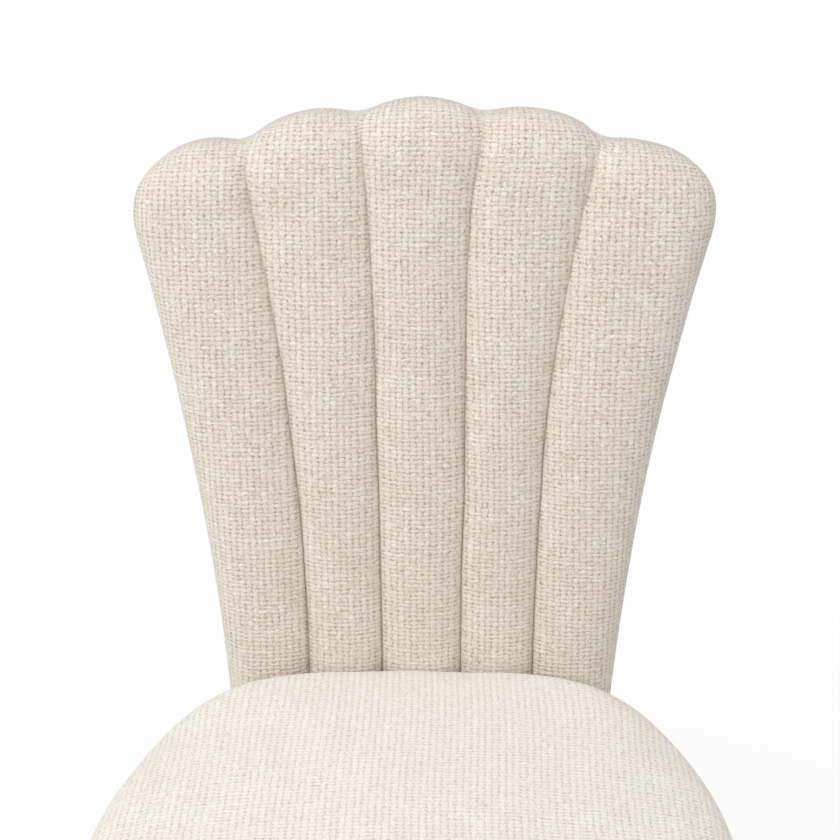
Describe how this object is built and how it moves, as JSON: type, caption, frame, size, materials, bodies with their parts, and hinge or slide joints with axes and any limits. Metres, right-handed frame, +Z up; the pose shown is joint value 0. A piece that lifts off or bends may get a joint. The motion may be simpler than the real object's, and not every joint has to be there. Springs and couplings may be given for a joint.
{
  "type": "vanity chair",
  "caption": "Armless vanity chair: round padded seat that turns on a splayed-leg base, with a fan-shaped, channelled and lobed padded back, all in ivory chenille.",
  "frame": {"origin": "on the floor, under the middle of the chair's outline", "axes": "+Z is up; the chair faces -Y; +X is to the right as seen from its front"},
  "size_m": [0.474, 0.6021, 0.8794],
  "materials": {
    "chenille": "ivory basket-weave chenille",
    "wadding": "soft white polyester wadding",
    "foam": "open-cell upholstery foam",
    "hardwood": "sawn, unfinished",
    "plywood": "sanded",
    "leg_wood": "satin lacquer",
    "black_steel": "satin powder coat",
    "zinc_steel": "zinc plated",
    "nylon": "matte",
    "dust_cloth": "non-woven cloth"
  },
  "bodies": {
    "base": {"base_board": "plywood", "glides": "nylon", "hanger_bolts": "zinc_steel", "leg_front_left": "leg_wood", "leg_front_right": "leg_wood", "leg_rear_left": "leg_wood", "leg_rear_right": "leg_wood", "leg_plate_front_left": "black_steel", "leg_plate_front_right": "black_steel", "leg_plate_rear_left": "black_steel", "leg_plate_rear_right": "black_steel", "leg_plate_screws": "zinc_steel", "swivel_balls": "zinc_steel", "swivel_cage": "zinc_steel", "swivel_lower_plate": "zinc_steel", "swivel_lower_screws": "zinc_steel", "swivel_rivet": "zinc_steel"},
    "seat": {"back_bolts": "zinc_steel", "back_bracket_left": "black_steel", "back_bracket_right": "black_steel", "back_cover": "chenille", "back_foam_left_inner": "foam", "back_foam_left_outer": "foam", "back_foam_middle": "foam", "back_foam_right_inner": "foam", "back_foam_right_outer": "foam", "back_panel": "plywood", "back_rear_cover": "chenille", "back_tee_nuts": "zinc_steel", "back_wadding": "wadding", "bracket_screws": "zinc_steel", "cross_rail_left": "hardwood", "cross_rail_right": "hardwood", "deck": "plywood", "dust_cover": "dust_cloth", "frame_rail_front_left": "hardwood", "frame_rail_front_right": "hardwood", "frame_rail_rear": "hardwood", "frame_rail_side_left": "hardwood", "frame_rail_side_right": "hardwood", "seat_cover": "chenille", "seat_foam": "foam", "seat_wadding": "wadding", "swivel_upper_plate": "zinc_steel", "swivel_upper_screws": "zinc_steel"}
  },
  "joints": [
    {"name": "swivel", "type": "hinge", "parent": "base", "child": "seat", "pos_m": [0, -0.06481, 0.337], "axis": [0, 0, 1], "continuous": true}
  ]
}
